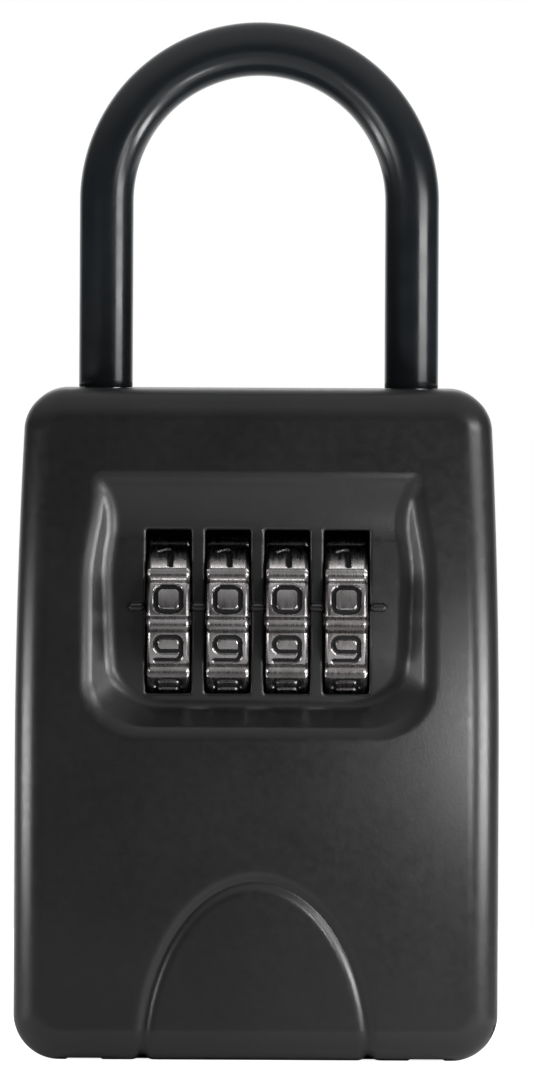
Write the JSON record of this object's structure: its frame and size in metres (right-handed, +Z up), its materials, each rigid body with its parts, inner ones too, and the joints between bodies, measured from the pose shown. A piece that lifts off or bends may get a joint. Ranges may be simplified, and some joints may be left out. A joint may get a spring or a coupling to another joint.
{
  "type": "portable key lock box",
  "caption": "Portable lock box for keys with number wheels, a door hinged at the foot and a coated shackle that lifts out.",
  "frame": {"origin": "middle of the base, under the middle of the whole box", "axes": "+X to the right seen from the front, +Y towards the back face, +Z up along the shackle legs"},
  "size_m": [0.065, 0.038, 0.1397],
  "materials": {
    "cast_body": "black powder coat, fine texture, semi-gloss, on zinc die casting",
    "dark_nickel": "black nickel plating, polished, with engraved numbers",
    "vinyl_coating": "black vinyl dip, glossy",
    "shackle_steel": "zinc-plated hardened steel",
    "bright_steel": "zinc-plated turned steel",
    "zinc_plate": "zinc-plated pressed sheet",
    "spring_steel": "drawn spring wire and strip",
    "zinc_cast": "bare zinc casting",
    "black_steel": "black painted pressed sheet",
    "brass": "turned brass"
  },
  "bodies": {
    "housing": {"rear_housing": "cast_body", "hinge_pin": "bright_steel", "strike_plate": "zinc_plate", "strike_screws": "bright_steel", "retainer_plate": "zinc_plate", "retainer_screws": "bright_steel", "shackle_latch_spring": "spring_steel"},
    "door": {"front_door": "cast_body", "mechanism_cover": "black_steel", "mechanism_screws": "bright_steel", "click_spring": "spring_steel", "latch_guide_screws": "bright_steel", "latch_spring": "spring_steel", "reset_spring": "spring_steel"},
    "latch": {"locking_spindle": "bright_steel", "latch_plate": "zinc_plate"},
    "reset": {"reset_comb": "zinc_cast"},
    "shackle": {"shackle": "shackle_steel", "shackle_sleeve": "vinyl_coating"},
    "shackle_latch": {"shackle_latch": "zinc_plate"},
    "wheel_1": {"number_wheel_1": "dark_nickel"},
    "sleeve_1": {"code_sleeve_1": "brass"},
    "wheel_2": {"number_wheel_2": "dark_nickel"},
    "sleeve_2": {"code_sleeve_2": "brass"},
    "wheel_3": {"number_wheel_3": "dark_nickel"},
    "sleeve_3": {"code_sleeve_3": "brass"},
    "wheel_4": {"number_wheel_4": "dark_nickel"},
    "sleeve_4": {"code_sleeve_4": "brass"}
  },
  "joints": [
    {"name": "door_hinge", "type": "hinge", "parent": "housing", "child": "door", "pos_m": [0, -0.0142, 0.0042], "axis": [1, 0, 0], "range_deg": [0, 95]},
    {"name": "shackle_lift", "type": "slide", "parent": "housing", "child": "shackle", "axis": [0, 0, 1], "range_m": [0, 0.016]},
    {"name": "shackle_latch_slide", "type": "slide", "parent": "housing", "child": "shackle_latch", "axis": [1, 0, 0], "range_m": [0, 0.0018]},
    {"name": "latch_slide", "type": "slide", "parent": "door", "child": "latch", "axis": [1, 0, 0], "range_m": [0, 0.0041]},
    {"name": "reset_slide", "type": "slide", "parent": "door", "child": "reset", "axis": [1, 0, 0], "range_m": [0, 0.0013]},
    {"name": "wheel_1_turn", "type": "hinge", "parent": "door", "child": "wheel_1", "pos_m": [-0.01196, -0.00795, 0.0592], "axis": [1, 0, 0], "continuous": true},
    {"name": "wheel_2_turn", "type": "hinge", "parent": "door", "child": "wheel_2", "pos_m": [-0.00398, -0.00795, 0.0592], "axis": [1, 0, 0], "continuous": true},
    {"name": "wheel_3_turn", "type": "hinge", "parent": "door", "child": "wheel_3", "pos_m": [0.00398, -0.00795, 0.0592], "axis": [1, 0, 0], "continuous": true},
    {"name": "wheel_4_turn", "type": "hinge", "parent": "door", "child": "wheel_4", "pos_m": [0.01196, -0.00795, 0.0592], "axis": [1, 0, 0], "continuous": true},
    {"name": "sleeve_1_slide", "type": "slide", "parent": "wheel_1", "child": "sleeve_1", "axis": [1, 0, 0], "range_m": [0, 0.0013]},
    {"name": "sleeve_2_slide", "type": "slide", "parent": "wheel_2", "child": "sleeve_2", "axis": [1, 0, 0], "range_m": [0, 0.0013]},
    {"name": "sleeve_3_slide", "type": "slide", "parent": "wheel_3", "child": "sleeve_3", "axis": [1, 0, 0], "range_m": [0, 0.0013]},
    {"name": "sleeve_4_slide", "type": "slide", "parent": "wheel_4", "child": "sleeve_4", "axis": [1, 0, 0], "range_m": [0, 0.0013]}
  ],
  "couplings": [
    {"joint": "sleeve_1_slide", "follows": "reset_slide", "ratio": 1},
    {"joint": "sleeve_2_slide", "follows": "reset_slide", "ratio": 1},
    {"joint": "sleeve_3_slide", "follows": "reset_slide", "ratio": 1},
    {"joint": "sleeve_4_slide", "follows": "reset_slide", "ratio": 1}
  ]
}
